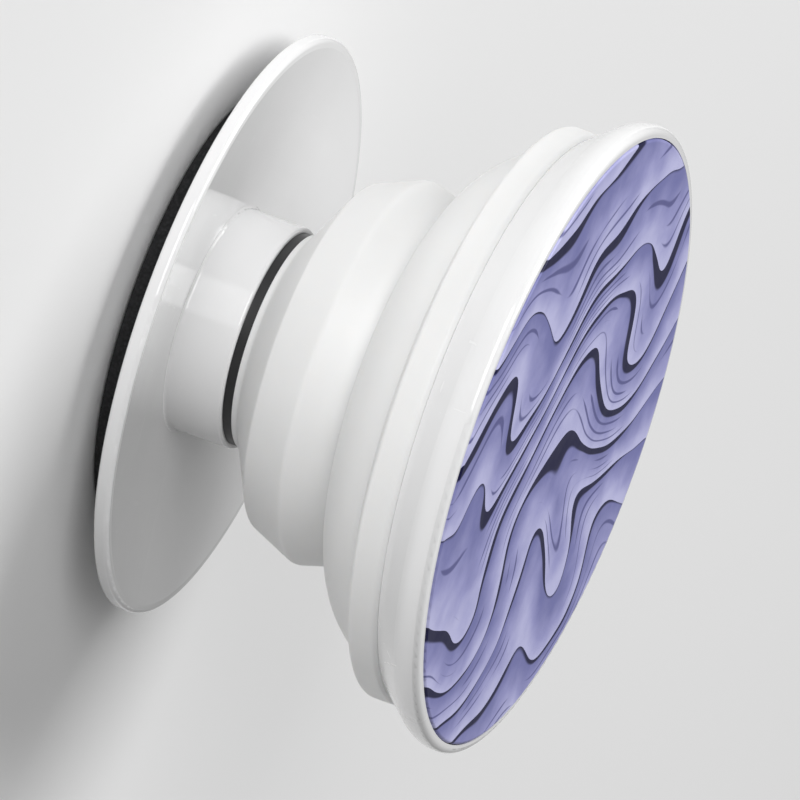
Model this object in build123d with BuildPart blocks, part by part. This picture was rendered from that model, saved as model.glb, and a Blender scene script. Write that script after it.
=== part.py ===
from build123d import *

import math
import os

os.makedirs("parts", exist_ok=True)

# Collapsible phone grip, pulled out. Millimetres, +Z from the phone to the button,
# origin at the centre of the face that sticks to the phone.

# Whole grip
open_height = 24.4  # phone to the top of the print
button_diameter = 40.0

# Clearances
swivel_clearance = 0.08  # foot stem in the base bore, radial
hook_play = 0.1  # snap hooks under the base shoulder, along the axis
soft_fit = 0.08  # accordion around the foot hub and the cap skirt, radial
insert_clearance = 0.05  # printed disc in the cap recess, radial

# Rounds shared by the moulded pieces
corner_break = 0.1
small_round = 0.2
fold_round = 0.4

# Adhesive pad and base plate
base_setback = 1.6  # base edge inside the button edge
undercut_reach = 4.4  # flat underside inside the base edge
pad_inset = 0.1  # pad edge inside the flat underside
pad_thickness = 0.8
base_thickness = 2.15  # pad to the top of the rim
base_edge_round = 0.3
rim_height = 0.9  # upright wall of the rim
rim_width = 0.6
dish_depth = 1.5  # rim down to the foot of the collar
collar_wall = 2.5
collar_rise = 2.25  # collar top above the rim

# Swivel foot
stem_diameter = 9.0
core_diameter = 6.0  # hollow between the snap fingers
finger_slot = 1.2
finger_root = 0.8  # solid stem above the slots, below the flange
hook_reach = 0.6
hook_height = 0.8
hook_floor_gap = 0.3  # hooks above the pad
hook_pocket_room = 0.4  # hooks inside the pocket wall, radial
flange_thickness = 0.6
flange_setback = 0.3  # flange edge inside the collar edge
head_reach = 1.2  # mushroom head beyond the hub
head_height = 1.0
head_dimple_diameter = 5.0
head_dimple_depth = 1.2

# Accordion
floor_thickness = 1.0
neck_overhang = 0.1  # neck beyond the flange
neck_height = 0.4
lower_web_rise = 2.4
lower_web_wall = 0.8
mid_ring_diameter = 24.6
mid_ring_height = 5.7
mid_ring_peak = 2.9  # widest line above the ring's lower rim
mid_ring_taper = 1.2  # lower rim inside the widest line
mid_ring_nip = 0.85  # upper rim inside the widest line
mid_ring_wall = 1.7
mid_ring_round = 1.4
upper_web_wall = 0.7
upper_web_bow = 0.8  # web below the straight line between its rings
upper_ring_height = 1.9
upper_ring_wall = 1.65
upper_ring_drop = 0.6  # end of the web below the ring's edge
upper_ring_lead = 0.15  # chamfer next to the cap
upper_ring_round = 0.3

# Button cap, film and printed disc
ring_setback = 1.75  # accordion's upper ring inside the button edge
cap_height = 3.6
cap_flare_rise = 2.25
cap_flare_round = 2.0
cap_edge_round = 0.45
cap_rim = 0.65  # white band around the print
cap_plate = 1.1
skirt_wall = 1.2
skirt_end_gap = 0.3
bead_reach = 0.35
bead_height = 0.9
film_thickness = 0.12
film_inset = 0.4
print_thickness = 0.6
print_proud = 0.1  # print above the cap's rim

# Radii worked out from the sizes above
button_radius = button_diameter / 2
base_radius = button_radius - base_setback
underside_radius = base_radius - undercut_reach
stem_radius = stem_diameter / 2
bore_radius = stem_radius + swivel_clearance
collar_radius = bore_radius + collar_wall
hook_radius = stem_radius + hook_reach
pocket_radius = hook_radius + hook_pocket_room
flange_radius = collar_radius - flange_setback
neck_radius = flange_radius + neck_overhang
mid_radius = mid_ring_diameter / 2
upper_radius = button_radius - ring_setback
seat_radius = upper_radius - upper_ring_wall
skirt_radius = seat_radius - soft_fit
recess_radius = button_radius - cap_rim
print_radius = recess_radius - insert_clearance

# Heights worked out from the sizes above
rim_z = pad_thickness + base_thickness
dish_z = rim_z - dish_depth
collar_z = rim_z + collar_rise
hook_z = pad_thickness + hook_floor_gap
hook_top_z = hook_z + hook_height
shoulder_z = hook_top_z + hook_play
neck_z = collar_z + flange_thickness
floor_z = neck_z + floor_thickness
head_z = floor_z + soft_fit
neck_top_z = neck_z + neck_height
mid_ring_z = neck_top_z + lower_web_rise
mid_ring_top_z = mid_ring_z + mid_ring_height
cap_top_z = open_height - print_proud
cap_z = cap_top_z - cap_height
upper_ring_z = cap_z - upper_ring_height
recess_z = cap_top_z + print_proud - print_thickness - film_thickness
skirt_z = upper_ring_z + skirt_end_gap
bead_z = (skirt_z + cap_z) / 2


def above_chord(start, end, wall, radius):
    """Height, at a radius, of the line that lies one wall above the chord from start to end."""
    slope = (end[1] - start[1]) / (end[0] - start[0])
    return start[1] + slope * (radius - start[0]) + wall * math.hypot(1, slope)


def arc_inside(start, end, bow, wall):
    """Ends and bow of the arc that lies one wall inside the arc from start to end."""
    chord = math.dist(start, end)
    radius = (chord**2 / 4 + bow**2) / (2 * bow)
    reach = (radius - bow) / chord
    centre = (
        (start[0] + end[0]) / 2 - (end[1] - start[1]) * reach,
        (start[1] + end[1]) / 2 + (end[0] - start[0]) * reach,
    )
    share = wall / radius
    inner_start = (start[0] + share * (centre[0] - start[0]), start[1] + share * (centre[1] - start[1]))
    inner_end = (end[0] + share * (centre[0] - end[0]), end[1] + share * (centre[1] - end[1]))
    return inner_start, inner_end, bow * (1 - share)


# Adhesive pad: die-cut foam disc
with BuildPart() as adhesive_pad:
    with BuildSketch():
        Circle(underside_radius - pad_inset)
    extrude(amount=pad_thickness)

# Base plate: thin saucer with an upright rim, a collar, and a pocket below for the foot's hooks
with BuildPart() as base_plate:
    with BuildSketch(Plane.XZ):
        with BuildLine():
            FilletPolyline(
                (pocket_radius, pad_thickness),
                (underside_radius, pad_thickness),
                (base_radius, rim_z - rim_height),
                (base_radius, rim_z),
                (base_radius - rim_width, rim_z),
                (collar_radius, dish_z),
                (collar_radius, collar_z),
                (bore_radius, collar_z),
                (bore_radius, shoulder_z),
                (pocket_radius, shoulder_z),
                radius=[
                    0,
                    small_round,
                    small_round,
                    base_edge_round,
                    small_round,
                    small_round,
                    small_round,
                    corner_break,
                    0,
                    0,
                ],
                close=True,
            )
        make_face()
    revolve(axis=Axis.Z)

# Swivel foot: snap hooks, stem, flange, hub and mushroom head
with BuildPart() as swivel_foot:
    with BuildSketch(Plane.XZ):
        with BuildLine():
            Polyline(
                (0, hook_z),
                (stem_radius - hook_reach / 2, hook_z),
                (hook_radius, hook_top_z - hook_height / 4),
                (hook_radius, hook_top_z),
                (stem_radius, hook_top_z),
                (stem_radius, collar_z),
                (flange_radius, collar_z),
                (flange_radius, neck_z),
                (stem_radius, neck_z),
                (stem_radius, head_z),
                (stem_radius + head_reach, head_z),
                (stem_radius + head_reach, head_z + head_height / 4),
                (stem_radius - head_reach / 4, head_z + head_height),
                (0, head_z + head_height),
                close=True,
            )
        make_face()
    revolve(axis=Axis.Z)
    with BuildSketch(Plane.XY.offset(hook_z)):
        Circle(core_diameter / 2)
        with PolarLocations(0, 2, angular_range=180):
            Rectangle(2 * hook_radius + finger_slot, finger_slot)
    extrude(amount=collar_z - finger_root - hook_z, mode=Mode.SUBTRACT)
    with BuildSketch(Plane.XY.offset(head_z + head_height)):
        Circle(head_dimple_diameter / 2)
    extrude(amount=-head_dimple_depth, mode=Mode.SUBTRACT)

# Accordion: floor, neck, lower web, middle ring, upper web and upper ring in one wall
neck_edge = (neck_radius, neck_top_z)
mid_rim = (mid_radius - mid_ring_taper, mid_ring_z)
mid_top = (mid_radius - mid_ring_nip, mid_ring_top_z)
web_end = (seat_radius, upper_ring_z - upper_ring_drop)
web_inner_start, web_inner_end, web_inner_bow = arc_inside(mid_top, web_end, upper_web_bow, upper_web_wall)
mid_inner_radius = mid_radius - mid_ring_wall
mid_rim_inner_radius = mid_rim[0] - lower_web_wall
hub_hole_radius = stem_radius + soft_fit
floor_slope = lower_web_rise / (mid_rim[0] - neck_radius)
floor_edge_rise = floor_z - above_chord(neck_edge, mid_rim, lower_web_wall, neck_radius)
floor_edge_radius = neck_radius + floor_edge_rise / floor_slope

with BuildPart() as accordion:
    with BuildSketch(Plane.XZ):
        with BuildLine():
            FilletPolyline(
                (hub_hole_radius, neck_z),
                (neck_radius, neck_z),
                neck_edge,
                mid_rim,
                (mid_radius, mid_ring_z + mid_ring_peak),
                mid_top,
                radius=[corner_break, fold_round, fold_round, mid_ring_round],
            )
            SagittaArc(mid_top, web_end, -upper_web_bow)
            FilletPolyline(
                web_end,
                (upper_radius, upper_ring_z),
                (upper_radius, cap_z - 2 * upper_ring_lead),
                (upper_radius - upper_ring_lead, cap_z),
                (seat_radius, cap_z),
                (seat_radius, upper_ring_z),
                web_inner_end,
                radius=[upper_ring_round, fold_round, corner_break, corner_break, corner_break],
            )
            SagittaArc(web_inner_end, web_inner_start, web_inner_bow)
            FilletPolyline(
                web_inner_start,
                (mid_inner_radius, web_inner_start[1]),
                (
                    mid_rim_inner_radius,
                    above_chord(neck_edge, mid_rim, lower_web_wall, mid_rim_inner_radius),
                ),
                (floor_edge_radius, floor_z),
                (hub_hole_radius, floor_z),
                (hub_hole_radius, neck_z),
                radius=[fold_round, fold_round, fold_round, corner_break],
            )
        make_face()
    revolve(axis=Axis.Z)
    with BuildSketch(Plane.XZ):
        with BuildLine():
            Polyline(
                (seat_radius - soft_fit, bead_z + bead_height / 2 + soft_fit),
                (seat_radius, bead_z + bead_height / 2 + soft_fit),
                (seat_radius + bead_reach, bead_z + bead_height / 6),
                (seat_radius + bead_reach, bead_z - bead_height / 6),
                (seat_radius, bead_z - bead_height / 2 - soft_fit),
                (seat_radius - soft_fit, bead_z - bead_height / 2 - soft_fit),
                close=True,
            )
        make_face()
    revolve(axis=Axis.Z, mode=Mode.SUBTRACT)

# Button cap: flared cap with a recess for the print and a snap skirt below
with BuildPart() as button_cap:
    with BuildSketch(Plane.XZ):
        with BuildLine():
            FilletPolyline(
                (0, recess_z),
                (0, recess_z - cap_plate),
                (skirt_radius - skirt_wall, recess_z - cap_plate),
                (skirt_radius - skirt_wall, skirt_z),
                (skirt_radius, skirt_z),
                (skirt_radius, bead_z - bead_height / 2),
                (skirt_radius + bead_reach, bead_z - bead_height / 6),
                (skirt_radius + bead_reach, bead_z + bead_height / 6),
                (skirt_radius, bead_z + bead_height / 2),
                (skirt_radius, cap_z),
                (upper_radius - upper_ring_lead, cap_z),
                (button_radius, cap_z + cap_flare_rise),
                (button_radius, cap_top_z),
                (recess_radius, cap_top_z),
                (recess_radius, recess_z),
                radius=[
                    0,
                    0,
                    fold_round,
                    small_round,
                    small_round,
                    0,
                    corner_break,
                    corner_break,
                    0,
                    0,
                    corner_break,
                    cap_flare_round,
                    cap_edge_round,
                    0,
                    0,
                ],
                close=True,
            )
        make_face()
    revolve(axis=Axis.Z)

# Film that holds the printed disc in the recess
with BuildPart() as insert_adhesive:
    with BuildSketch(Plane.XY.offset(recess_z)):
        Circle(print_radius - film_inset)
    extrude(amount=film_thickness)

# Printed disc with a softened edge
with BuildPart() as print_insert:
    with BuildSketch(Plane.XY.offset(recess_z + film_thickness)):
        Circle(print_radius)
    extrude(amount=print_thickness)
    fillet(print_insert.faces().sort_by(Axis.Z)[-1].edges(), radius=small_round)

adhesive_pad.part.label = "adhesive_pad"
base_plate.part.label = "base_plate"
swivel_foot.part.label = "swivel_foot"
accordion.part.label = "accordion"
button_cap.part.label = "button_cap"
insert_adhesive.part.label = "insert_adhesive"
print_insert.part.label = "print_insert"

export_step(adhesive_pad.part, "parts/adhesive_pad.step")
export_step(base_plate.part, "parts/base_plate.step")
export_step(swivel_foot.part, "parts/swivel_foot.step")
export_step(accordion.part, "parts/accordion.step")
export_step(button_cap.part, "parts/button_cap.step")
export_step(insert_adhesive.part, "parts/insert_adhesive.step")
export_step(print_insert.part, "parts/print_insert.step")
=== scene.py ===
import math

import bpy
from mathutils import Matrix, Vector


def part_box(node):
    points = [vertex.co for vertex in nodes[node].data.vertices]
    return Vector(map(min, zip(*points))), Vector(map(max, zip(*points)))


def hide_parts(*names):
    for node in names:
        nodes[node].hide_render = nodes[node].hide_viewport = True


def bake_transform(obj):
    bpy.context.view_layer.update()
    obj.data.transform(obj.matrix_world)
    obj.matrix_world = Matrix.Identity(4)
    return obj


# Collapsible phone grip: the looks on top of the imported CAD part.
# Metres, +Z from the phone to the button.

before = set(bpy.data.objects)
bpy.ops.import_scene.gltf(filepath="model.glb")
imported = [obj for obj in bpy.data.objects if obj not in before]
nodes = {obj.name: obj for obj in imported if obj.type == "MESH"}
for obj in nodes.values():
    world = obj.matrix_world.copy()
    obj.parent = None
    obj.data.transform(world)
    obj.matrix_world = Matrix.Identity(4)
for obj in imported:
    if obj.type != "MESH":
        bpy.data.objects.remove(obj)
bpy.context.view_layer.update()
MM = 0.001

# Camera, measured from the photograph
camera_elevation = math.radians(15.2)  # above the plane of the discs
axis_tilt = math.radians(19.7)  # the grip's axis points right and this far below level
aim_point = Vector((0.82, 0.0, 14.17)) * MM
view_width = 48.25 * MM
camera_distance = 2.0
sensor_width = 36.0

# Studio
world_colour = (1.0, 1.0, 1.0, 1.0)
world_strength = 0.25
floor_size = 40.0
floor_drop = 0.1 * MM  # floor below the adhesive face
floor_tone = (0.8, 0.8, 0.8)
lamp_size = 0.4
lamps = (  # name, place and power
    ("key", (-0.19, -0.54, 0.18), 2.15),
    ("top", (-0.33, 0.13, 0.49), 2.9),
)

# Accordion in millimetres, set on the frame's own sizes; the rest follows the CAD solid
accordion_low, accordion_high = (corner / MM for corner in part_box("accordion"))
flange_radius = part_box("swivel_foot")[1].x / MM
floor_z = accordion_low.z
top_z = accordion_high.z
upper_radius = accordion_high.x

hub_radius = 4.7  # bore around the foot's hub
neck_overhang = 0.1  # neck beyond the foot's flange
neck_height = 0.4
lower_web_rise = 2.4
mid_rim_radius = 11.1
mid_peak_radius = 12.3
mid_peak_rise = 2.9  # widest line above the ring's lower rim
mid_top_radius = 11.45
mid_ring_height = 5.7
upper_ring_height = 1.9
upper_ring_reach = 1.65  # ring beyond the end of the web
upper_ring_drop = 0.6  # end of the web below the ring's edge
upper_lead_width = 0.15  # chamfer next to the cap
upper_lead_height = 0.3
web_bow = 0.8  # upper web below the straight line between its rings
wall = 0.7
ring_wall = 1.2  # upper ring, clear of the snap bead on the cap
ring_floor = 0.3  # lower wall of the upper ring

edge_break = 0.1
small_round = 0.3
fold_round = 0.4
peak_round = 0.7

neck_radius = flange_radius + neck_overhang
neck_top_z = floor_z + neck_height
mid_rim = (mid_rim_radius, neck_top_z + lower_web_rise)
mid_peak = (mid_peak_radius, mid_rim[1] + mid_peak_rise)
mid_top = (mid_top_radius, mid_rim[1] + mid_ring_height)
ring_edge_z = top_z - upper_ring_height
ring_inner_radius = upper_radius - ring_wall
web_end = (upper_radius - upper_ring_reach, ring_edge_z - upper_ring_drop)

# Fineness of the turned meshes
turn_steps = 192
path_step = 0.16  # millimetres
arc_step = math.radians(7)
crease_angle = math.radians(35)
same_place = 1e-4  # millimetres

# Print: lavender and indigo, linear, and a marbling of its own, millimetres on the disc
lavender_light = (0.52, 0.52, 0.78)
lavender = (0.33, 0.33, 0.60)
violet = (0.17, 0.175, 0.40)
violet_deep = (0.09, 0.092, 0.25)
ink = (0.006, 0.006, 0.045)
wave_period = 4.6
wave_direction = (0.8, 0.6, 0.0)
wave_sway = (5.0, 5.0, 0.0)
ink_thin, ink_thick = 0.02, 0.19  # shares of a wave
hair_strength = 0.9
hair_soft_edge = 0.014  # share of a wave
hair_lines = (  # place and half width, shares of a wave
    (0.36, 0.035),
    (0.60, 0.028),
    (0.80, 0.020),
)
print_swirls = (  # centre, reach and turn of each
    ((-7.0, 6.0, 0.0), 7.0, 1.7),
    ((8.5, -2.0, 0.0), 7.5, -1.8),
    ((-3.0, -11.0, 0.0), 6.0, 1.5),
    ((6.0, 12.0, 0.0), 6.0, -1.4),
)


def rounded_path(corners):
    """Points along a line through (radius, height, rounding) corners, each corner rounded."""
    places = [Vector(corner[:2]) for corner in corners]
    path = [places[0]]
    for before, place, after, corner in zip(places, places[1:], places[2:], corners[1:]):
        rounding = corner[2]
        back = (before - place).normalized()
        on = (after - place).normalized()
        half = back.angle(on) / 2
        turn = math.pi - 2 * half
        setback = rounding / math.tan(half)
        centre = place + (back + on).normalized() * rounding / math.sin(half)
        start = place + back * setback - centre
        end = place + on * setback - centre
        steps = max(2, math.ceil(turn / arc_step))
        for step in range(steps + 1):
            share = step / steps
            along = start * math.sin((1 - share) * turn) + end * math.sin(share * turn)
            path.append(centre + along / math.sin(turn))
    path.append(places[-1])
    return path


def bowed_path(start, end, bulge):
    """Points along a bow from start to end that stands bulge off its chord, on the outer side."""
    start, end = Vector(start), Vector(end)
    chord = end - start
    side = Vector((chord.y, -chord.x)).normalized()
    steps = math.ceil(chord.length / path_step)
    shares = [step / steps for step in range(steps + 1)]
    return [start + chord * share + side * bulge * 4 * share * (1 - share) for share in shares]


def inside(path, depth):
    """The same line moved by a depth to its inner side, which is the left of its way up."""
    places = [Vector(place) for place in path]
    ways = [(after - before).normalized() for before, after in zip(places, places[1:])]
    sides = [Vector((-way.y, way.x)) for way in ways]
    sides = [sides[0], *sides, sides[-1]]
    return [
        place + (side + next_side) * depth / (1 + side.dot(next_side))
        for place, side, next_side in zip(places, sides, sides[1:])
    ]


def filled(path):
    """The same line with no two points further apart than path_step."""
    points = [path[0]]
    for start, end in zip(path, path[1:]):
        steps = max(1, math.ceil((end - start).length / path_step))
        points.extend(start.lerp(end, step / steps) for step in range(1, steps + 1))
    return points


def turned_piece(name, outer, inner):
    """A closed wall turned about the Z axis, between two lines of millimetre points, both upward."""
    loop = filled(outer) + filled(inner)[::-1]
    loop = [
        place
        for place, after in zip(loop, loop[1:] + loop[:1])
        if (after - place).length > same_place
    ]
    angles = [2 * math.pi * step / turn_steps for step in range(turn_steps)]
    verts = [
        (place.x * math.cos(angle) * MM, place.x * math.sin(angle) * MM, place.y * MM)
        for angle in angles
        for place in loop
    ]
    count = len(loop)
    faces = []
    for step in range(turn_steps):
        here = step * count
        there = (step + 1) % turn_steps * count
        for row in range(count):
            next_row = (row + 1) % count
            faces.append((here + row, there + row, there + next_row, here + next_row))
    mesh = bpy.data.meshes.new(name)
    mesh.from_pydata(verts, [], faces)
    mesh.shade_smooth()
    mesh.set_sharp_from_angle(angle=crease_angle)
    piece = bpy.data.objects.new(name, mesh)
    bpy.context.scene.collection.objects.link(piece)
    return piece


class Graph:
    """Builds a material's nodes; a value is a socket or a plain number, vector or colour."""

    def __init__(self, name):
        self.material = bpy.data.materials.new(name)
        self.material.use_nodes = True
        self.tree = self.material.node_tree
        self.shader = self.tree.nodes["Principled BSDF"]
        self.position = self.add("ShaderNodeTexCoord").outputs["Object"]

    def add(self, kind, settings=None, **values):
        node = self.tree.nodes.new(kind)
        for key, value in (settings or {}).items():
            setattr(node, key, value)
        for key, value in values.items():
            self.set(node.inputs[key], value)
        return node

    def set(self, socket, value):
        if isinstance(value, bpy.types.NodeSocket):
            self.tree.links.new(value, socket)
        elif socket.type == "RGBA":
            socket.default_value = (*value, 1.0)
        else:
            socket.default_value = value

    def finish(self, **values):
        for key, value in values.items():
            self.set(self.shader.inputs[key.replace("_", " ")], value)
        return self.material

    def math(self, operation, *values):
        node = self.add("ShaderNodeMath", {"operation": operation})
        for socket, value in zip(node.inputs, values):
            self.set(socket, value)
        return node.outputs[0]

    def vector(self, operation, *values):
        node = self.add("ShaderNodeVectorMath", {"operation": operation})
        for socket, value in zip(node.inputs, values):
            self.set(socket, value)
        return node.outputs["Value" if operation in ("DISTANCE", "DOT_PRODUCT") else "Vector"]

    def ramp(self, value, low, high, out_low=0.0, out_high=1.0):
        """A smooth step from out_low to out_high while the value goes from low to high."""
        node = self.add("ShaderNodeMapRange", {"interpolation_type": "SMOOTHSTEP"}, Value=value)
        limits = {"From Min": low, "From Max": high, "To Min": out_low, "To Max": out_high}
        for key, limit in limits.items():
            self.set(node.inputs[key], limit)
        return node.outputs[0]

    def mix(self, share, first, second):
        node = self.add("ShaderNodeMix", {"data_type": "RGBA"})
        for index, value in ((0, share), (6, first), (7, second)):  # share and colours A and B
            self.set(node.inputs[index], value)
        return node.outputs[2]

    def noise(self, size, detail, place=None, output="Fac"):
        """Noise with features of about this size, in millimetres."""
        place = self.position if place is None else place
        node = self.add("ShaderNodeTexNoise", Vector=place, Scale=1 / (size * MM), Detail=detail)
        return node.outputs[output]

    def tones(self, size, first, second):
        """A colour that drifts between two tones over about this size, in millimetres."""
        return self.mix(self.noise(size, 3.0), first, second)

    def patches(self, size, detail, low, high):
        """A number that drifts between two limits in patches of about this size."""
        return self.ramp(self.noise(size, detail), 0.3, 0.7, low, high)

    def bump(self, height, depth):
        """Normals for a height of 0 to 1 that stands this deep, in millimetres."""
        return self.add("ShaderNodeBump", Height=height, Distance=depth * MM, Strength=1.0).outputs[0]


def gloss_white(name, roughness):
    """Gloss moulded plastic: faint tone drift, orange peel and hair scratches."""
    g = Graph(name)
    rough = g.patches(3.0, 4.0, roughness * 0.8, roughness * 1.25)
    for stretch in ((9.0, 1.0, 1.0), (1.0, 11.0, 1.0)):
        scratches = g.noise(4.0, 3.0, g.vector("MULTIPLY", g.position, stretch))
        rough = g.math("ADD", rough, g.ramp(scratches, 0.66, 0.72, 0.0, 0.1))
    return g.finish(
        Base_Color=g.tones(9.0, (0.80, 0.80, 0.805), (0.86, 0.86, 0.86)),
        Roughness=rough,
        Normal=g.bump(g.noise(0.9, 1.0), 0.0012),
        IOR=1.58,
        Coat_Weight=0.5,
        Coat_Roughness=0.04,
    )


def soft_white(name):
    """Satin moulded elastomer: fine grain, slight depth under the surface."""
    g = Graph(name)
    g.shader.subsurface_method = "RANDOM_WALK"
    return g.finish(
        Base_Color=g.tones(7.0, (0.79, 0.79, 0.785), (0.85, 0.85, 0.845)),
        Roughness=g.patches(2.0, 4.0, 0.42, 0.52),
        Normal=g.bump(g.noise(0.22, 3.0), 0.0025),
        IOR=1.49,
        Subsurface_Weight=0.25,
        Subsurface_Radius=(1.0, 0.9, 0.8),
        Subsurface_Scale=0.8 * MM,
    )


def black_acetal(name):
    """Satin moulded acetal: a fine grain."""
    g = Graph(name)
    return g.finish(
        Base_Color=g.tones(2.5, (0.008, 0.008, 0.009), (0.017, 0.017, 0.018)),
        Roughness=g.patches(1.2, 4.0, 0.32, 0.45),
        Normal=g.bump(g.noise(0.15, 2.0), 0.003),
        IOR=1.48,
    )


def black_foam(name):
    """Die-cut foam: closed cells on the cut edge."""
    g = Graph(name)
    cell_size = 0.22 * MM
    voronoi = g.add("ShaderNodeTexVoronoi", Vector=g.position, Scale=1 / cell_size)
    cells = voronoi.outputs["Distance"]
    return g.finish(
        Base_Color=g.mix(cells, (0.030, 0.030, 0.032), (0.010, 0.010, 0.011)),
        Roughness=0.92,
        Normal=g.bump(cells, -0.05),
        IOR=1.45,
    )


def clear_film(name):
    """Double-sided film: a faint tint."""
    g = Graph(name)
    tint = g.tones(1.5, (0.70, 0.70, 0.66), (0.78, 0.78, 0.75))
    return g.finish(Base_Color=tint, Roughness=0.4, IOR=1.47)


def marbled_print(name):
    """Marbled paper: ink drawn into waves and turned by a few swirls, on lavender washes."""
    g = Graph(name)
    place = g.vector("MULTIPLY", g.position, (1 / MM, 1 / MM, 0.0))
    for centre, reach, turn in print_swirls:
        apart = g.math("DIVIDE", g.vector("DISTANCE", place, centre), reach)
        fade = g.math("EXPONENT", g.math("MULTIPLY", g.math("POWER", apart, 2.0), -1.0))
        swirl = g.add(
            "ShaderNodeVectorRotate",
            {"rotation_type": "Z_AXIS"},
            Vector=place,
            Center=centre,
            Angle=g.math("MULTIPLY", fade, turn),
        )
        place = swirl.outputs["Vector"]
    wander = g.noise(9.0, 1.0, output="Color")
    place = g.vector("MULTIPLY_ADD", wander, wave_sway, place)
    across = g.vector("DOT_PRODUCT", place, [step / wave_period for step in wave_direction])
    band = g.math("FRACT", across)

    # Washes: each wave goes from violet to light lavender, with blotches
    blotch = g.math("SUBTRACT", g.noise(2.4, 4.0), 0.5)
    depth = g.math("MULTIPLY_ADD", blotch, 0.8, band)
    colour = g.mix(g.ramp(depth, 0.0, 0.72), violet, lavender)
    colour = g.mix(g.ramp(depth, 0.5, 1.1), colour, lavender_light)

    # Hair lines, each broken where its noise is low
    for middle, half_width in hair_lines:
        away = g.math("ABSOLUTE", g.math("SUBTRACT", band, middle))
        width = g.ramp(g.noise(5.0 + 3 * middle, 0.5), 0.4, 0.62, -0.03, half_width)
        past = g.math("SUBTRACT", away, width)
        hair = g.ramp(past, -hair_soft_edge, hair_soft_edge, hair_strength, 0.0)
        colour = g.mix(hair, colour, violet_deep)

    # Ink at the start of each wave, thick and thin
    width = g.ramp(g.noise(7.5, 0.5), 0.3, 0.65, ink_thin, ink_thick)
    stroke = g.ramp(g.math("SUBTRACT", band, width), -0.03, 0.02, 1.0, 0.0)
    return g.finish(
        Base_Color=g.mix(stroke, colour, ink),
        Roughness=g.patches(1.6, 3.0, 0.3, 0.4),
        IOR=1.5,
        Specular_IOR_Level=0.2,
    )


def dress(piece, material):
    """Gives a piece this material alone."""
    piece.data.materials.clear()
    piece.data.materials.append(material)


def add_lamp(name, place, power):
    """A square area lamp at a place in metres that faces the middle of the grip."""
    light = bpy.data.lights.new(name, "AREA")
    light.size = lamp_size
    light.energy = power
    lamp = bpy.data.objects.new(name, light)
    lamp.location = place
    lamp.rotation_euler = (aim_point - Vector(place)).to_track_quat("-Z", "Y").to_euler()
    bpy.context.scene.collection.objects.link(lamp)


# Accordion: two soft pieces that meet at the top of the middle ring
lower_outer = rounded_path([
    (hub_radius, floor_z, 0),
    (neck_radius, floor_z, edge_break),
    (neck_radius, neck_top_z, fold_round),
    (*mid_rim, fold_round),
    (*mid_peak, peak_round),
    (*mid_top, 0),
])
floor_edge, rim_inner, peak_inner, top_inner = inside(
    [(neck_radius, neck_top_z), mid_rim, mid_peak, mid_top], wall
)
lower_inner = rounded_path([
    (hub_radius, floor_edge.y, 0),
    (*floor_edge, small_round),
    (*rim_inner, edge_break),
    (*peak_inner, edge_break),
    (*top_inner, 0),
])
web = bowed_path(mid_top, web_end, web_bow)
upper_outer = web + rounded_path([
    (*web_end, 0),
    (upper_radius, ring_edge_z, small_round),
    (upper_radius, top_z - upper_lead_height, fold_round),
    (upper_radius - upper_lead_width, top_z, edge_break),
    (ring_inner_radius, top_z, 0),
])[1:]
upper_inner = inside(web, wall) + [
    Vector((ring_inner_radius, ring_edge_z + ring_floor)),
    Vector((ring_inner_radius, top_z)),
]
lower_bellows = turned_piece("accordion_lower", lower_outer, lower_inner)
upper_bellows = turned_piece("accordion_upper", upper_outer, upper_inner)
elastomer = soft_white("white_elastomer_satin")
for piece in (lower_bellows, upper_bellows):
    dress(piece, elastomer)
    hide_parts("accordion")
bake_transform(lower_bellows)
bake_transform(upper_bellows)

# Materials of the rigid CAD pieces
dress(nodes["base_plate"], gloss_white("white_plastic_base", 0.08))
dress(nodes["button_cap"], gloss_white("white_plastic_cap", 0.16))
dress(nodes["swivel_foot"], black_acetal("black_acetal_satin"))
dress(nodes["adhesive_pad"], black_foam("black_foam"))
dress(nodes["insert_adhesive"], clear_film("clear_film"))
dress(nodes["print_insert"], marbled_print("marbled_print"))

# Floor: pale, takes the shadow
bpy.ops.mesh.primitive_plane_add(size=floor_size, location=(0, 0, -floor_drop))
floor = bpy.context.active_object
floor.name = "floor"
dress(floor, Graph("floor_paint").finish(Base_Color=floor_tone, Roughness=0.7))

# World and lamps: soft studio light
world = bpy.data.worlds.new("studio")
bpy.context.scene.world = world
world.use_nodes = True
backdrop = world.node_tree.nodes["Background"]
backdrop.inputs["Color"].default_value = world_colour
backdrop.inputs["Strength"].default_value = world_strength
for name, place, power in lamps:
    add_lamp(name, place, power)

# Camera at the photograph's viewing angle, rolled so that the axis points right and down
outward = Vector((0, -math.cos(camera_elevation), math.sin(camera_elevation)))
rise = Vector((0, math.sin(camera_elevation), math.cos(camera_elevation)))
side = Vector((1, 0, 0))
right = math.cos(axis_tilt) * rise - math.sin(axis_tilt) * side
up = -math.cos(axis_tilt) * side - math.sin(axis_tilt) * rise
camera_data = bpy.data.cameras.new("camera")
camera_data.sensor_width = sensor_width
camera_data.lens = sensor_width * camera_distance / view_width
camera = bpy.data.objects.new("camera", camera_data)
camera_turn = Matrix((right, up, outward)).transposed().to_4x4()
camera.matrix_world = Matrix.Translation(aim_point + outward * camera_distance) @ camera_turn
bpy.context.scene.collection.objects.link(camera)
bpy.context.scene.camera = camera
bpy.context.scene.view_settings.view_transform = "Standard"
